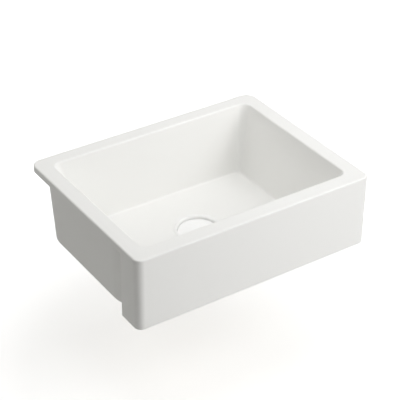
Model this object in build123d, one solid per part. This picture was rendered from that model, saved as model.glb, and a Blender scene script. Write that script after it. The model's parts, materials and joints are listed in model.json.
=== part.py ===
"""Farmhouse apron front sink with its basket strainer drain, in millimetres.

Frame: X runs across the width, +Y to the back, +Z up. The origin is at mid-width on the
flat base, where the base meets the plane of the apron's back face.
"""
from build123d import *
import os
from math import pi

os.makedirs("parts", exist_ok=True)

# ---- basin casting ----
overall_width = 620.0
overall_depth = 475.0
overall_height = 182.0
apron_thickness = 70.0
front_corner_r = 18.0            # upright corners of the apron
back_corner_r = 27.0             # back corners of the rim
rim_thickness = 18.0
side_rim_width = 38.0            # outer edge to bowl wall, left and right
back_rim_width = 38.0
front_rim_width = 39.0
top_edge_r = 4.0                 # outer top edges
mouth_edge_r = 4.5               # edge round the bowl
lower_edge_r = 3.5               # lower edges of the rim and the apron

# ---- tub under the rim ----
rim_overhang = 11.5              # rim beyond the tub wall, left, right and back
tub_front_cover = 19.0           # how far the tub's front wall lies inside the apron
tub_corner_r = 75.0
tub_lean = 7.5                   # how far each tub wall leans in, from rim to base
base_edge_r = 3.0

# ---- bowl ----
bowl_mouth_corner_r = 20.0       # upright corners at the rim
bowl_floor_corner_r = 11.0       # the same corners at the floor
side_lean = 51.0                 # how far the left and right bowl walls lean in, to the floor
back_lean = 46.0                 # the same for the front and back bowl walls
bowl_floor_r = 5.0               # fillet between the walls and the floor
floor_thickness = 21.5           # base to floor, near the walls
dish_r = 125.0                   # shallow dish that leads water to the drain
dish_depth = 3.5
drain_hole_r = 52.0
drain_hole_edge_r = 2.0
drain_floor_thickness = 9.0      # casting left round the drain hole
pocket_r = 70.0                  # recess in the base round the drain hole

# ---- strainer body ----
flange_r = 58.6
flange_edge_thickness = 0.6
flange_thickness = 1.6           # beside the throat
flange_land = 3.0                # flat floor left round the flange
body_wall = 1.7
body_thread_length = 32.0        # from the flange down
throat_r = 49.5                  # bore above the basket's ledge
throat_edge_r = 5.0
ledge_depth = 14.0               # flange top to the ledge that carries the basket
ledge_width = 4.0
body_depth = 58.0                # flange top to the stopper's seat
seat_thickness = 2.6
cup_floor_r = 8.0                # fillet between the cup's wall and the seat
neck_bore_r = 20.5
neck_wall = 3.3
neck_length = 16.0
spider_drop = 8.0                # seat to the top of the cross in the neck
spider_height = 5.0
spider_bar_width = 3.0
spider_bars = 4
spider_hub_wall = 3.0

# ---- pieces that clamp the body to the basin ----
seal_thickness = 0.8             # under the flange
seal_width = 3.2
seal_inset = 0.6                 # seal's edge inside the flange's edge
gasket_thickness = 3.0
gasket_r = 62.0
friction_ring_thickness = 1.2
friction_ring_r = 61.0
locknut_height = 11.0
locknut_r = 57.0
lug_reach = 8.0                  # lugs beyond the locknut's ring
lug_width = 12.0
lug_height = 6.0
lug_count = 6
thread_clearance = 0.15          # between screwed pieces, which are modelled smooth
ring_clearance = 0.3             # rings round the body

# ---- outlet ----
tailpiece_r = 19.05
tailpiece_wall = 1.2
tailpiece_length = 102.0
tailpiece_flange_r = 22.8
tailpiece_flange_thickness = 1.6
tailpiece_neck_r = 20.0          # thicker wall under the flange
tailpiece_neck_length = 6.0      # flange to the plain tube
washer_thickness = 2.0
slip_nut_r = 28.5
slip_nut_height = 19.0
slip_nut_lip = 2.6               # under the tailpiece's flange
slip_nut_ribs = 8
slip_nut_rib_r = 2.4
tube_clearance = 0.3             # tailpiece's neck in the slip nut

# ---- basket ----
basket_wall = 1.2
basket_clearance = 0.35          # basket's lip in the throat
lip_thickness = 1.4
basket_depth = 27.0              # lip top to the underside of its floor
basket_top_r = 42.0
basket_floor_r = 32.0
basket_bend_r = 5.0
basket_hub_r = 7.0
basket_hub_height = 5.0
floor_hole_r = 2.1
inner_hole_ring_r = 13.5
inner_holes = 8
outer_hole_ring_r = 21.5
outer_holes = 14
wall_slots = 18
slot_width = 3.0
slot_height = 9.0

# ---- post and stopper ----
stem_r = 3.0
stem_clearance = 0.06            # stem in the basket's hub
tip_clearance = 0.4              # stem's tip in the cross
post_travel = 10.0               # shut to fully open
stop_gap = 0.3                   # collar below the basket when fully open
collar_r = 5.5
knob_gap = 1.0                   # knob above the basket's hub when shut
knob_r = 9.0
knob_waist_r = 5.0
knob_height = 10.5
knob_bore_depth = 6.0
knob_neck_r = 2.5                # fillet between the waist and the knob's head
knob_edge_r = 1.0
knob_top_edge_r = 2.0
stopper_r = 26.0
stopper_thickness = 3.2
stopper_gap = 0.2                # stopper above its seat when shut
backing_r = 17.5
backing_thickness = 1.2
stem_nut_width = 10.0            # across its flats
stem_nut_height = 4.0
stem_fit = 0.05                  # pieces fixed on the stem

# ---- cover over the basket ----
cover_gap = 1.0                  # water runs in round the cover's edge
cover_thickness = 1.8
cover_crown = 1.0                # middle above the edge
cover_edge_r = 0.5
cover_foot_height = 2.4
cover_foot_r = 1.6
cover_foot_inset = 1.0           # feet inside the cover's edge
cover_feet = 4

# ---- places that follow from the sizes ----
front_y = -apron_thickness
back_y = overall_depth - apron_thickness
rim_under_z = overall_height - rim_thickness
bowl_front_y = front_y + front_rim_width
bowl_back_y = back_y - back_rim_width
bowl_width = overall_width - 2 * side_rim_width
drain_y = (bowl_front_y + bowl_back_y) / 2
drain_floor_z = floor_thickness - dish_depth
pocket_z = drain_floor_z - drain_floor_thickness

flange_under_z = drain_floor_z + seal_thickness
flange_top_z = flange_under_z + flange_thickness
ledge_z = flange_top_z - ledge_depth
seat_z = flange_top_z - body_depth
neck_top_z = seat_z - seat_thickness
neck_end_z = neck_top_z - neck_length
thread_end_z = flange_under_z - body_thread_length
body_r = throat_r + body_wall
cup_r = throat_r - ledge_width
neck_r = neck_bore_r + neck_wall
spider_top_z = seat_z - spider_drop
spider_under_z = spider_top_z - spider_height

gasket_under_z = pocket_z - gasket_thickness
locknut_top_z = gasket_under_z - friction_ring_thickness
locknut_under_z = locknut_top_z - locknut_height

washer_under_z = neck_end_z - washer_thickness
tailpiece_flange_z = washer_under_z - tailpiece_flange_thickness
slip_nut_under_z = tailpiece_flange_z - slip_nut_lip
tailpiece_end_z = washer_under_z - tailpiece_length
tailpiece_bore_r = tailpiece_r - tailpiece_wall

lip_top_z = ledge_z + lip_thickness
basket_under_z = lip_top_z - basket_depth
cover_r = throat_r - cover_gap
cover_under_z = lip_top_z + cover_foot_height
hub_top_z = basket_under_z + basket_hub_height
knob_under_z = hub_top_z + knob_gap
knob_top_z = knob_under_z + knob_height

stopper_under_z = seat_z + stopper_gap
stopper_top_z = stopper_under_z + stopper_thickness
backing_top_z = stopper_top_z + backing_thickness
collar_top_z = basket_under_z - stop_gap - post_travel

drain_axis = Pos(0, drain_y, 0)
margin = 0.01                    # for finding edges by their place and length


def slab(width, y0, y1, z0, z1, front_r, back_r):
    """A slab across the width, from y0 to y1 and z0 to z1, with rounded upright edges."""
    outline = Pos(0, (y0 + y1) / 2, z0) * Rectangle(width, y1 - y0)
    upright = extrude(outline, z1 - z0).edges().filter_by(Axis.Z).sort_by(Axis.Y)
    block = fillet(upright[:2], front_r)
    upright = block.edges().filter_by(Axis.Z).sort_by(Axis.Y)
    return fillet(upright[-2:], back_r)


def leaning_tub(width, y0, y1, z_low, z_high, lean_x, lean_y, low_r, high_r):
    """A solid of the given size at z_high whose four walls lean in towards z_low,
    with upright corners that change from low_r to high_r."""
    middle = (y0 + y1) / 2
    low = Pos(0, middle, z_low) * RectangleRounded(
        width - 2 * lean_x, y1 - y0 - 2 * lean_y, low_r
    )
    high = Pos(0, middle, z_high) * RectangleRounded(width, y1 - y0, high_r)
    return loft([low, high], ruled=True)


def edges_at(solid, z):
    """The edges of a solid that lie in the level z."""
    return solid.edges().filter_by_position(Axis.Z, z - margin, z + margin)


def circles_at(solid, z, r):
    """The round edges of radius r about the drain axis, at level z."""
    return [
        edge for edge in edges_at(solid, z)
        if abs(edge.length - 2 * pi * r) < margin
    ]


def turned(*points):
    """A piece turned about the drain axis, from (radius, height) or
    (radius, height, rounding) corners."""
    face = make_face(Polyline(*[point[:2] for point in points], close=True))
    for r, z, rounding in [point for point in points if len(point) == 3]:
        corner = face.vertices().sort_by_distance(Vector(r, z, 0))[0]
        face = fillet(corner, rounding)
    return drain_axis * revolve(Plane.XZ * face, Axis.Z)


def ring(inner_r, outer_r, z0, z1):
    """A plain ring about the drain axis."""
    return turned((inner_r, z0), (outer_r, z0), (outer_r, z1), (inner_r, z1))


def around(count, shape):
    """Copies of a shape turned evenly about the drain axis."""
    return [drain_axis * Rot(0, 0, 360 * i / count) * shape for i in range(count)]


def dish():
    """The space of the shallow dish, down to the flat land under the flange."""
    land_r = flange_r + flange_land
    slope = Spline(
        (land_r, drain_floor_z), (dish_r, floor_thickness), tangents=((1, 0), (1, 0))
    )
    sides = Polyline(
        (dish_r, floor_thickness), (dish_r, 2 * floor_thickness), (0, 2 * floor_thickness),
        (0, drain_floor_z), (land_r, drain_floor_z),
    )
    return drain_axis * revolve(Plane.XZ * make_face([slope, sides]), Axis.Z)


def make_bowl_space():
    """The space inside the bowl, without the drain hole."""
    space = leaning_tub(
        bowl_width, bowl_front_y, bowl_back_y, floor_thickness, overall_height,
        side_lean, back_lean, bowl_floor_corner_r, bowl_mouth_corner_r,
    )
    return fillet(edges_at(space, floor_thickness), bowl_floor_r) + dish()


def make_basin():
    """The one-piece casting: rim, apron and tub, with the bowl and the drain hole."""
    rim = slab(
        overall_width, front_y, back_y, rim_under_z, overall_height,
        front_corner_r, back_corner_r,
    )
    rim = fillet(edges_at(rim, rim_under_z), lower_edge_r)
    apron = slab(
        overall_width, front_y, 0, 0, overall_height, front_corner_r, lower_edge_r
    )
    apron = fillet(edges_at(apron, 0), lower_edge_r)
    tub = leaning_tub(
        overall_width - 2 * rim_overhang, -tub_front_cover, back_y - rim_overhang,
        0, rim_under_z, tub_lean, tub_lean, tub_corner_r, tub_corner_r,
    )
    tub = fillet(edges_at(tub, 0), base_edge_r)
    body = rim + apron + tub
    body = fillet(edges_at(body, overall_height), top_edge_r)
    body -= make_bowl_space()
    rim_top = body.faces().sort_by(Axis.Z)[-1]
    body = fillet(rim_top.inner_wires()[0].edges(), mouth_edge_r)
    body -= ring(0, drain_hole_r, -1, drain_floor_z + 1)
    body -= ring(0, pocket_r, -1, pocket_z)
    return fillet(circles_at(body, drain_floor_z, drain_hole_r), drain_hole_edge_r)


def make_strainer_body():
    """Flanged cup with a ledge for the basket, a seat, and a cross in its neck."""
    body = turned(
        (neck_bore_r, neck_end_z), (neck_r, neck_end_z), (neck_r, neck_top_z),
        (cup_r + body_wall, neck_top_z, cup_floor_r + body_wall),
        (cup_r + body_wall, thread_end_z), (body_r, thread_end_z),
        (body_r, flange_under_z, throat_edge_r - flange_thickness),
        (flange_r, flange_under_z),
        (flange_r, flange_under_z + flange_edge_thickness),
        (flange_r - seal_width, flange_top_z), (throat_r, flange_top_z, throat_edge_r),
        (throat_r, ledge_z), (cup_r, ledge_z), (cup_r, seat_z, cup_floor_r),
        (neck_bore_r, seat_z),
    )
    hub_r = stem_r + tip_clearance + spider_hub_wall
    bar = Pos(0, 0, spider_under_z) * Box(
        neck_bore_r + neck_wall / 2, spider_bar_width, spider_height,
        align=(Align.MIN, Align.CENTER, Align.MIN),
    )
    body += around(spider_bars, bar)
    body += ring(0, hub_r, spider_under_z, spider_top_z)
    return body - ring(0, stem_r + tip_clearance, spider_under_z, spider_top_z)


def make_locknut():
    """Ring nut with square lugs that a wrench turns under the basin."""
    lug_root_r = (body_r + locknut_r) / 2
    lug = Pos(lug_root_r, 0, locknut_top_z) * Box(
        locknut_r + lug_reach - lug_root_r, lug_width, lug_height,
        align=(Align.MIN, Align.CENTER, Align.MAX),
    )
    nut = ring(body_r + thread_clearance, locknut_r, locknut_under_z, locknut_top_z)
    return nut + around(lug_count, lug)


def make_slip_nut():
    """Ribbed nut that holds the tailpiece's flange up against the neck."""
    top_z = slip_nut_under_z + slip_nut_height
    hole_r = tailpiece_neck_r + tube_clearance
    nut = turned(
        (hole_r, slip_nut_under_z), (slip_nut_r, slip_nut_under_z), (slip_nut_r, top_z),
        (neck_r + thread_clearance, top_z),
        (neck_r + thread_clearance, tailpiece_flange_z), (hole_r, tailpiece_flange_z),
    )
    rib = Pos(slip_nut_r, 0, slip_nut_under_z) * Cylinder(
        slip_nut_rib_r, slip_nut_height, align=(Align.CENTER, Align.CENTER, Align.MIN)
    )
    return nut + around(slip_nut_ribs, rib)


def make_tailpiece():
    """Straight outlet tube with a thicker neck and a flange at its top."""
    neck_end = tailpiece_flange_z - tailpiece_neck_length
    return turned(
        (tailpiece_bore_r, tailpiece_end_z), (tailpiece_r, tailpiece_end_z),
        (tailpiece_r, neck_end), (tailpiece_neck_r, neck_end),
        (tailpiece_neck_r, tailpiece_flange_z), (tailpiece_flange_r, tailpiece_flange_z),
        (tailpiece_flange_r, washer_under_z), (tailpiece_bore_r, washer_under_z),
    )


def make_basket():
    """Perforated cup that hangs by its lip on the body's ledge."""
    floor_top_z = basket_under_z + basket_wall
    basket = turned(
        (stem_r + stem_clearance, basket_under_z),
        (basket_floor_r, basket_under_z, basket_bend_r),
        (basket_top_r, ledge_z), (throat_r - basket_clearance, ledge_z),
        (throat_r - basket_clearance, lip_top_z), (basket_top_r - basket_wall, lip_top_z),
        (basket_floor_r - basket_wall, floor_top_z, basket_bend_r - basket_wall),
        (basket_hub_r, floor_top_z), (basket_hub_r, hub_top_z),
        (stem_r + stem_clearance, hub_top_z),
    )
    hole = Cylinder(floor_hole_r, basket_hub_height)
    inner_hole = Pos(inner_hole_ring_r, 0, basket_under_z) * hole
    outer_hole = Pos(outer_hole_ring_r, 0, basket_under_z) * hole
    slot_reach = basket_top_r - basket_floor_r + basket_bend_r
    slot = Pos(basket_top_r, 0, (basket_under_z + ledge_z) / 2) * extrude(
        Plane.YZ * SlotOverall(slot_height, slot_width, rotation=90), slot_reach, both=True
    )
    cuts = around(inner_holes, inner_hole) + around(outer_holes, outer_hole)
    return basket - cuts - around(wall_slots, slot)


def make_drain_cover():
    """Thin domed disc that hides the basket and stands on its lip on small feet."""
    edge_z = cover_under_z + cover_thickness
    face = make_face([
        TangentArc((0, edge_z + cover_crown), (cover_r, edge_z), tangent=(1, 0)),
        Line((cover_r, edge_z), (cover_r, cover_under_z)),
        TangentArc((0, cover_under_z + cover_crown), (cover_r, cover_under_z), tangent=(1, 0)),
        Line((0, cover_under_z + cover_crown), (0, edge_z + cover_crown)),
    ])
    rim = face.vertices().sort_by_distance(Vector(cover_r, edge_z, 0))[0]
    cover = drain_axis * revolve(Plane.XZ * fillet(rim, cover_edge_r), Axis.Z)
    foot = Pos(cover_r - cover_foot_inset - cover_foot_r, 0, lip_top_z) * Cylinder(
        cover_foot_r, cover_foot_height + cover_thickness / 2,
        align=(Align.CENTER, Align.CENTER, Align.MIN),
    )
    return cover + around(cover_feet, foot)


def make_stem():
    """Round post with the collar that clamps the stopper against its nut."""
    return turned(
        (0, spider_under_z), (stem_r, spider_under_z), (stem_r, backing_top_z),
        (collar_r, backing_top_z), (collar_r, collar_top_z), (stem_r, collar_top_z),
        (stem_r, knob_under_z + knob_bore_depth), (0, knob_under_z + knob_bore_depth),
    )


def make_knob():
    """Turned pull knob with a waist, bored to sit on the post."""
    bore_r = stem_r + stem_fit
    bore_top_z = knob_under_z + knob_bore_depth
    return turned(
        (bore_r, knob_under_z), (knob_waist_r, knob_under_z),
        (knob_waist_r, bore_top_z, knob_neck_r), (knob_r, bore_top_z, knob_edge_r),
        (knob_r, knob_top_z, knob_top_edge_r), (0, knob_top_z), (0, bore_top_z),
        (bore_r, bore_top_z),
    )


def make_stem_nut():
    """Hexagon nut that holds the stopper on the post."""
    outline = RegularPolygon(stem_nut_width / 2, 6, major_radius=False)
    outline -= Circle(stem_r + stem_fit)
    return drain_axis * extrude(
        Pos(0, 0, stopper_under_z - stem_nut_height) * outline, stem_nut_height
    )


pieces = {
    "basin": make_basin(),
    "strainer_body": make_strainer_body(),
    "flange_seal": ring(
        flange_r - seal_inset - seal_width, flange_r - seal_inset,
        drain_floor_z, flange_under_z,
    ),
    "rubber_gasket": ring(body_r + ring_clearance, gasket_r, gasket_under_z, pocket_z),
    "friction_ring": ring(
        body_r + ring_clearance, friction_ring_r, locknut_top_z, gasket_under_z
    ),
    "locknut": make_locknut(),
    "outlet_washer": ring(
        tailpiece_bore_r, tailpiece_flange_r, washer_under_z, neck_end_z
    ),
    "tailpiece": make_tailpiece(),
    "slip_nut": make_slip_nut(),
    "basket": make_basket(),
    "drain_cover": make_drain_cover(),
    "post_stem": make_stem(),
    "post_knob": make_knob(),
    "stopper_backing": ring(stem_r + stem_fit, backing_r, stopper_top_z, backing_top_z),
    "stopper_seal": ring(stem_r + stem_fit, stopper_r, stopper_under_z, stopper_top_z),
    "stem_nut": make_stem_nut(),
}

for name, piece in pieces.items():
    export_step(piece, f"parts/{name}.step")
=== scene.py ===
import json
import math

import bmesh
import bpy
from mathutils import Matrix, Vector


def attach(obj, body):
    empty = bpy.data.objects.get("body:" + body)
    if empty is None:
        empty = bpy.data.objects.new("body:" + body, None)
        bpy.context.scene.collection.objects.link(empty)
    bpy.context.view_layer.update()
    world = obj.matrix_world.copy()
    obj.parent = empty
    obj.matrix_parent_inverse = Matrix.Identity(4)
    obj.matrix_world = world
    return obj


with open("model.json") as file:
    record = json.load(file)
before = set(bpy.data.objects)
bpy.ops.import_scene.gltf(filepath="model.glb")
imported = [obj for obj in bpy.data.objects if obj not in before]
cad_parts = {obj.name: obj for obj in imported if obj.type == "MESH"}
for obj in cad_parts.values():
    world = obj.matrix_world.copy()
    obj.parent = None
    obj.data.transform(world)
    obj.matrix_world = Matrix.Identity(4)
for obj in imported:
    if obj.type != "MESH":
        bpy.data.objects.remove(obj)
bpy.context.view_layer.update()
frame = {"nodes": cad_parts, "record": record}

scene = bpy.context.scene
nodes = frame["nodes"]

# The drain, in metres, as its solids have it: the place of its upright axis, and the radii
# and levels of the strainer body.
DRAIN_Y = 0.168
THROAT_R = 0.0495
BODY_R = 0.0512
NECK_R = 0.0238
THREAD_END_Z = -0.0132
NECK_TOP_Z = -0.0402
MM = 0.001


# ---------------------------------------------------------------- materials
class Surface:
    """A material built node by node round one Principled shader."""

    def __init__(self, name, color, roughness, **sockets):
        self.material = bpy.data.materials.new(name)
        self.material.use_nodes = True
        self.material.diffuse_color = (*color, 1)
        self.tree = self.material.node_tree
        self.shader = self.tree.nodes["Principled BSDF"]
        self.output = self.tree.nodes["Material Output"]
        self.shader.inputs["Base Color"].default_value = (*color, 1)
        self.shader.inputs["Roughness"].default_value = roughness
        for socket, value in sockets.items():
            self.shader.inputs[socket.replace("_", " ")].default_value = value
        self.place = self.add("ShaderNodeTexCoord").outputs["Object"]
        self.normal = None

    def add(self, kind, **settings):
        node = self.tree.nodes.new(kind)
        for key, value in settings.items():
            setattr(node, key, value)
        return node

    def link(self, value, socket):
        """Connects an output to a socket, or writes a plain value there."""
        if isinstance(value, bpy.types.NodeSocket):
            self.tree.links.new(value, socket)
        else:
            socket.default_value = value

    def math(self, operation, a, b):
        node = self.add("ShaderNodeMath", operation=operation)
        self.link(a, node.inputs[0])
        self.link(b, node.inputs[1])
        return node.outputs[0]

    def noise(self, size, detail=2.0, rough=0.5, stretch=None, place=None):
        """Noise whose features are about size metres across."""
        place = place or self.place
        if stretch:
            scaled = self.add("ShaderNodeMapping")
            self.link(place, scaled.inputs["Vector"])
            scaled.inputs["Scale"].default_value = stretch
            place = scaled.outputs[0]
        node = self.add("ShaderNodeTexNoise")
        self.link(place, node.inputs["Vector"])
        node.inputs["Scale"].default_value = 1 / size
        node.inputs["Detail"].default_value = detail
        node.inputs["Roughness"].default_value = rough
        return node.outputs["Fac"]

    def cells(self, size):
        """Distance to the nearest of points about size metres apart, and its own colour."""
        node = self.add("ShaderNodeTexVoronoi")
        self.link(self.place, node.inputs["Vector"])
        node.inputs["Scale"].default_value = 1 / size
        return node.outputs

    def remap(self, value, low, high, to_low=0.0, to_high=1.0, ramp="SMOOTHSTEP"):
        """Carries the range low to high over to another one, and stops at its ends."""
        node = self.add("ShaderNodeMapRange", clamp=True, interpolation_type=ramp)
        for socket, entry in zip(node.inputs, (value, low, high, to_low, to_high)):
            self.link(entry, socket)
        return node.outputs[0]

    def mix(self, factor, a, b):
        """Colour a where the factor is 0 and colour b where it is 1."""
        node = self.add("ShaderNodeMix", data_type="RGBA")
        self.link(factor, node.inputs["Factor"])
        for value, name in ((a, "A"), (b, "B")):
            socket = next(s for s in node.inputs if s.name == name and s.type == "RGBA")
            self.link((*value, 1) if isinstance(value, tuple) else value, socket)
        return next(s for s in node.outputs if s.type == "RGBA")

    def color(self, value):
        self.link(value, self.shader.inputs["Base Color"])

    def roughness(self, value):
        self.link(value, self.shader.inputs["Roughness"])

    def bump(self, height, metres, strength=1.0):
        """Adds a relief of the given height in metres on top of what is there."""
        node = self.add("ShaderNodeBump")
        node.inputs["Strength"].default_value = strength
        node.inputs["Distance"].default_value = metres
        self.link(height, node.inputs["Height"])
        if self.normal:
            self.link(self.normal, node.inputs["Normal"])
        self.normal = node.outputs[0]
        self.link(self.normal, self.shader.inputs["Normal"])

    def axis_distance(self):
        """Distance from the drain's upright axis."""
        shifted = self.add("ShaderNodeVectorMath", operation="SUBTRACT")
        self.link(self.place, shifted.inputs[0])
        shifted.inputs[1].default_value = (0, DRAIN_Y, 0)
        flat = self.add("ShaderNodeVectorMath", operation="MULTIPLY")
        self.link(shifted.outputs[0], flat.inputs[0])
        flat.inputs[1].default_value = (1, 1, 0)
        length = self.add("ShaderNodeVectorMath", operation="LENGTH")
        self.link(flat.outputs[0], length.inputs[0])
        return length.outputs["Value"]


def glazed_fireclay():
    """Thick white glaze over cream clay, bare under the base."""
    s = Surface("glazed_fireclay", (0.875, 0.873, 0.855), 0.40, Specular_IOR_Level=0.4,
                Coat_Weight=0.05, Coat_Roughness=0.16)
    clouds = s.noise(0.16, 3, 0.55)
    mottle = s.noise(0.012, 3, 0.6)
    white = s.mix(s.remap(clouds, 0.3, 0.7), (0.883, 0.881, 0.865), (0.866, 0.863, 0.845))
    white = s.mix(s.remap(mottle, 0.35, 0.75, 0, 0.35), white, (0.862, 0.857, 0.835))
    # glaze thins on sharp edges and lets the clay through a little
    geometry = s.add("ShaderNodeNewGeometry")
    edge = s.remap(geometry.outputs["Pointiness"], 0.515, 0.62, 0, 0.28)
    white = s.mix(edge, white, (0.80, 0.785, 0.745))
    # sparse specks in the glaze: a small dot in about one cell of seven
    cell = s.cells(0.021)
    dot = s.remap(cell["Distance"], 0.018, 0.03, 1, 0)
    chance = s.add("ShaderNodeSeparateColor")
    s.link(cell["Color"], chance.inputs[0])
    speck = s.math("MULTIPLY", dot, s.math("GREATER_THAN", chance.outputs[0], 0.86))
    white = s.mix(s.math("MULTIPLY", speck, 0.35), white, (0.62, 0.58, 0.52))
    s.roughness(s.remap(s.noise(0.05, 3, 0.6), 0.25, 0.75, 0.37, 0.44))
    # slow waves of the poured glaze, its fine orange peel and the specks' pits
    s.bump(s.noise(0.055, 2, 0.45), 0.00035, 0.35)
    s.bump(s.noise(0.0021, 2, 0.5), 0.000012, 0.5)
    s.bump(s.math("MULTIPLY", speck, -1.0), 0.00008, 0.5)

    # the base stands bare: the glaze stops in a wavy line just round its edge
    height = s.add("ShaderNodeSeparateXYZ")
    s.link(s.place, height.inputs[0])
    facing = s.add("ShaderNodeSeparateXYZ")
    s.link(geometry.outputs["Normal"], facing.inputs[0])
    line = s.math("ADD", height.outputs["Z"], s.math("MULTIPLY", s.noise(0.03, 3, 0.6), 0.0022))
    low = s.remap(line, 0.0014, 0.0018, 1, 0)
    bare = s.math("MULTIPLY", low, s.remap(facing.outputs["Z"], -0.8, -0.55, 1, 0))
    clay = s.mix(s.remap(s.noise(0.004, 4, 0.65), 0.35, 0.7), (0.66, 0.60, 0.50),
                 (0.58, 0.51, 0.41))
    grit = s.cells(0.0035)
    clay = s.mix(s.remap(grit["Distance"], 0.10, 0.2, 0.5, 0), clay, (0.34, 0.27, 0.2))
    biscuit = s.add("ShaderNodeBsdfPrincipled")
    s.link(clay, biscuit.inputs["Base Color"])
    biscuit.inputs["Roughness"].default_value = 0.9
    rough_clay = s.add("ShaderNodeBump")
    rough_clay.inputs["Strength"].default_value = 0.6
    rough_clay.inputs["Distance"].default_value = 0.0003
    s.link(s.noise(0.0016, 4, 0.7), rough_clay.inputs["Height"])
    s.link(rough_clay.outputs[0], biscuit.inputs["Normal"])
    both = s.add("ShaderNodeMixShader")
    s.link(bare, both.inputs["Fac"])
    s.link(s.shader.outputs[0], both.inputs[1])
    s.link(biscuit.outputs[0], both.inputs[2])
    s.link(both.outputs[0], s.output.inputs["Surface"])
    return s.material


def white_coat():
    """White powder coat on the strainer's metal; the throat is painted whiter than the flange,
    painted light that lifts the shade falling in the throat.
    """
    s = Surface("white_coat", (0.92, 0.919, 0.91), 0.34)
    clouds = s.remap(s.noise(0.02, 3, 0.6), 0.3, 0.7)
    throat_painted_light = s.mix(clouds, (0.965, 0.964, 0.957), (0.95, 0.948, 0.938))
    flange = s.mix(clouds, (0.893, 0.892, 0.882), (0.878, 0.876, 0.864))
    # painted light: the coat in the throat is painted whiter than on the flange, to lift the
    # shade that falls in the throat
    s.color(s.mix(s.remap(s.axis_distance(), THROAT_R, THROAT_R + 4 * MM), throat_painted_light, flange))
    s.roughness(s.remap(s.noise(0.006, 2, 0.5), 0.3, 0.7, 0.30, 0.38))
    s.bump(s.noise(0.0011, 2, 0.5), 0.000006, 0.6)
    return s.material


def cover_enamel_painted_light():
    """Clean white enamel, smoother than the glaze round it, and painted whiter than the
    strainer's own white coat: painted light that lifts the shade of its recess.
    """
    s = Surface("cover_enamel_painted_light", (0.97, 0.97, 0.965), 0.2, Coat_Weight=0.3, Coat_Roughness=0.08)
    s.color(s.mix(s.remap(s.noise(0.012, 3, 0.6), 0.3, 0.7), (0.975, 0.975, 0.97),
                  (0.96, 0.96, 0.953)))
    s.roughness(s.remap(s.noise(0.007, 2, 0.5), 0.3, 0.7, 0.16, 0.24))
    s.bump(s.noise(0.0013, 2, 0.5), 0.000008, 0.4)
    return s.material


def stem_steel():
    """Turned steel, with fine rings round its axis."""
    s = Surface("stem_steel", (0.60, 0.60, 0.59), 0.34, Metallic=1.0)
    rings = s.add("ShaderNodeTexNoise", noise_dimensions="1D")
    s.link(s.axis_distance(), rings.inputs["W"])
    rings.inputs["Scale"].default_value = 9000
    rings.inputs["Detail"].default_value = 3
    along = s.noise(0.00035, 3, 0.6, stretch=(0.02, 0.02, 1))
    cloud = s.noise(0.006, 3, 0.6)
    s.color(s.mix(s.remap(cloud, 0.3, 0.7), (0.62, 0.62, 0.61), (0.54, 0.54, 0.525)))
    s.roughness(s.remap(s.math("ADD", rings.outputs["Fac"], along), 0.7, 1.3, 0.29, 0.42))
    s.bump(rings.outputs["Fac"], 0.00003, 0.35)
    s.bump(along, 0.00003, 0.25)
    return s.material


def white_plastic():
    """Moulded white polypropylene with a fine spark grain and faint flow marks."""
    s = Surface("white_plastic", (0.80, 0.80, 0.775), 0.42, Subsurface_Weight=0.08,
                Subsurface_Scale=0.002)
    flow = s.noise(0.02, 4, 0.65, stretch=(1, 1, 0.35))
    s.color(s.mix(s.remap(flow, 0.3, 0.7), (0.815, 0.813, 0.79), (0.775, 0.77, 0.74)))
    s.roughness(s.remap(flow, 0.25, 0.75, 0.36, 0.5))
    s.bump(s.noise(0.0006, 3, 0.6), 0.00004, 0.6)
    return s.material


def rubber(name, color, dust, dust_amount):
    """Moulded rubber with a dull bloom and a little dust in its grain."""
    s = Surface(name, color, 0.62, Specular_IOR_Level=0.4)
    bloom = s.remap(s.noise(0.009, 4, 0.65), 0.4, 0.8, 0, dust_amount)
    fine = s.remap(s.noise(0.0007, 3, 0.7), 0.55, 0.8, 0, dust_amount * 1.5)
    s.color(s.mix(s.math("MAXIMUM", bloom, fine), color, dust))
    s.roughness(s.remap(s.noise(0.005, 3, 0.6), 0.3, 0.7, 0.55, 0.74))
    s.bump(s.noise(0.0009, 3, 0.6), 0.00006, 0.7)
    return s.material


def pressed_fibre():
    """Pressed brown fibre board, its fibres lying every way in the flat."""
    s = Surface("fibre", (0.36, 0.25, 0.14), 0.9)
    one = s.noise(0.0011, 4, 0.7, stretch=(1, 0.12, 1))
    other = s.noise(0.0011, 4, 0.7, stretch=(0.12, 1, 1))
    strands = s.math("MAXIMUM", one, other)
    s.color(s.mix(s.remap(strands, 0.45, 0.75), (0.30, 0.20, 0.115), (0.46, 0.34, 0.21)))
    s.roughness(s.remap(strands, 0.4, 0.8, 0.82, 0.95))
    s.bump(strands, 0.00012, 0.8)
    return s.material


finishes = {
    "glazed_fireclay": glazed_fireclay(),
    "white_coat": white_coat(),
    "cover_enamel_painted_light": cover_enamel_painted_light(),
    "stem_steel": stem_steel(),
    "white_plastic": white_plastic(),
    "black_rubber": rubber("black_rubber", (0.022, 0.022, 0.024), (0.16, 0.155, 0.15), 0.3),
    "white_rubber": rubber("white_rubber", (0.72, 0.71, 0.68), (0.60, 0.585, 0.55), 0.5),
    "fibre": pressed_fibre(),
}
for part in frame["record"]["subparts"]:
    slots = nodes[part["node"]].data.materials
    slots.clear()
    # the drain cover takes a whiter copy of the white coat, painted light for the shade of its
    # recess
    finish = "cover_enamel_painted_light" if part["node"] == "drain_cover" else part["material_slot"]
    slots.append(finishes[finish])


# ---------------------------------------------------------------- screw threads
THREAD_STEPS = 72                # per turn
ROOT_DEPTH = 0.1 * MM            # the ridge's foot lies this far inside the metal
ROOT_HALF = 0.46                 # half the foot's width, in pitches
CREST_HALF = 0.14                # half the crest's width, in pitches
FADE_TURNS = 0.25                # the ridge grows and shrinks over this much of a turn


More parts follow.
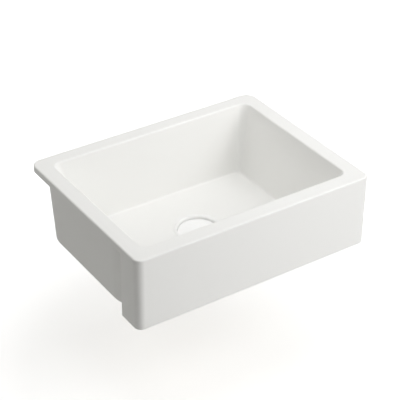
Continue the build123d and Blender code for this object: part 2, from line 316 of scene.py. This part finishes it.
def thread(name, radius, pitch, low, high, depth, slot):
    """A helical ridge round the drain's axis that fades in and out at its ends."""
    rise = high - low - pitch
    count = int(THREAD_STEPS * rise / pitch)
    fade_steps = FADE_TURNS * THREAD_STEPS
    bm = bmesh.new()
    last = None
    for i in range(count + 1):
        angle = 2 * math.pi * i / THREAD_STEPS
        z = low + pitch / 2 + rise * i / count
        crest = depth * min(1, i / fade_steps, (count - i) / fade_steps)
        profile = ((-ROOT_DEPTH, -ROOT_HALF), (crest, -CREST_HALF), (crest, CREST_HALF),
                   (-ROOT_DEPTH, ROOT_HALF))
        row = [
            bm.verts.new(((radius + out) * math.cos(angle),
                          DRAIN_Y + (radius + out) * math.sin(angle), z + along * pitch))
            for out, along in profile
        ]
        if last:
            for k in range(len(profile) - 1):
                bm.faces.new((last[k], row[k], row[k + 1], last[k + 1]))
        last = row
    bmesh.ops.recalc_face_normals(bm, faces=bm.faces)
    for face in bm.faces:
        face.smooth = True
    mesh = bpy.data.meshes.new(name)
    bm.to_mesh(mesh)
    bm.free()
    mesh.materials.append(finishes[slot])
    ridge = bpy.data.objects.new(name, mesh)
    scene.collection.objects.link(ridge)
    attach(ridge, "sink")


thread("body_thread", radius=BODY_R, pitch=2.1 * MM, low=THREAD_END_Z + 0.3 * MM,
       high=-6.3 * MM, depth=0.55 * MM, slot="white_coat")
thread("neck_thread", radius=NECK_R, pitch=1.6 * MM, low=-43.3 * MM,
       high=NECK_TOP_Z - 0.2 * MM, depth=0.45 * MM, slot="white_coat")


# ---------------------------------------------------------------- camera
# Fitted to the photograph: the camera's place, its direction and its lens.
CAMERA_PLACE = (-1.443916, -1.995495, 1.786434)
YAW, PITCH, ROLL = math.radians(-33.80), math.radians(33.00), math.radians(0.41)
LENS = 120.356

camera = bpy.data.cameras.new("camera")
camera.sensor_width = 36
camera.lens = LENS
camera.clip_start = 0.05
back = Vector((math.sin(YAW) * math.cos(PITCH), -math.cos(YAW) * math.cos(PITCH),
               math.sin(PITCH)))
right = (-back).cross(Vector((0, 0, 1))).normalized()
up = right.cross(-back)
right, up = (math.cos(ROLL) * right + math.sin(ROLL) * up,
             -math.sin(ROLL) * right + math.cos(ROLL) * up)
pose = Matrix((right, up, back)).transposed().to_4x4()
pose.translation = CAMERA_PLACE
camera_object = bpy.data.objects.new("camera", camera)
camera_object.matrix_world = pose
scene.collection.objects.link(camera_object)
scene.camera = camera_object


# ---------------------------------------------------------------- studio
FLOOR_Z = -0.30
FLOOR_HALF = 14
SHADOW_R, WHITE_R = 0.5, 1.3     # the floor's own glow is half within one, full past the other
TARGET = Vector((0, 0.15, 0.1))
WHITE = (1.0, 1.0, 1.0)
WARM = (1.0, 0.99, 0.945)


def softbox(name, azimuth, elevation, distance, size, watts, color=WHITE):
    """A square soft light aimed at the sink. Azimuth 0 is in front, 90 to the right."""
    a, e = math.radians(azimuth), math.radians(elevation)
    towards = Vector((math.sin(a) * math.cos(e), -math.cos(a) * math.cos(e), math.sin(e)))
    light = bpy.data.lights.new(name, "AREA")
    light.size = size
    light.energy = watts
    light.color = color
    lamp = bpy.data.objects.new(name, light)
    lamp.location = TARGET + distance * towards
    lamp.rotation_euler = (-towards).to_track_quat("-Z", "Y").to_euler()
    lamp.visible_camera = False
    scene.collection.objects.link(lamp)


softbox("key", 45, 35, 3.2, 1.8, 39.5)
softbox("front_low", 20, 15, 1.7, 1.1, 9.1)
softbox("right_near", 100, 60, 1.0, 0.6, 2.1)
softbox("top", 0, 90, 1.7, 1.2, 8.6)
softbox("left_front", 315, 35, 3.2, 1.8, 11.6, WARM)
softbox("back_high", 190, 55, 1.7, 1.1, 3.7)
softbox("back_left", 230, 30, 1.7, 1.1, 5.3, WARM)


def pale_floor():
    """Pale matt floor that shows white to the camera and keeps the sink's soft shadow."""
    s = Surface("floor", (0.85, 0.85, 0.845), 0.9)
    away = s.add("ShaderNodeVectorMath", operation="LENGTH")
    s.link(s.place, away.inputs[0])
    glow = s.remap(away.outputs["Value"], SHADOW_R, WHITE_R, 0.5, 1.0, ramp="LINEAR")
    rays = s.add("ShaderNodeLightPath")
    light = s.add("ShaderNodeEmission")
    s.link(s.math("MULTIPLY", rays.outputs["Is Camera Ray"], glow), light.inputs["Strength"])
    both = s.add("ShaderNodeAddShader")
    s.link(s.shader.outputs[0], both.inputs[0])
    s.link(light.outputs[0], both.inputs[1])
    s.link(both.outputs[0], s.output.inputs["Surface"])
    return s.material


bm = bmesh.new()
bmesh.ops.create_grid(bm, x_segments=1, y_segments=1, size=FLOOR_HALF)
floor_mesh = bpy.data.meshes.new("floor")
bm.to_mesh(floor_mesh)
bm.free()
floor_mesh.materials.append(pale_floor())
floor = bpy.data.objects.new("floor", floor_mesh)
floor.location.z = FLOOR_Z
scene.collection.objects.link(floor)

# The world is white to the camera and in reflections, and lights nothing.
world = bpy.data.worlds.new("studio")
scene.world = world
world.use_nodes = True
tree = world.node_tree
background = tree.nodes["Background"]
background.inputs["Color"].default_value = (*WHITE, 1)
rays = tree.nodes.new("ShaderNodeLightPath")
seen = rays.outputs["Is Camera Ray"]
for kind in ("Is Glossy Ray", "Is Transmission Ray"):
    either = tree.nodes.new("ShaderNodeMath")
    either.operation = "MAXIMUM"
    tree.links.new(seen, either.inputs[0])
    tree.links.new(rays.outputs[kind], either.inputs[1])
    seen = either.outputs[0]
tree.links.new(seen, background.inputs["Strength"])

scene.view_settings.view_transform = "Standard"
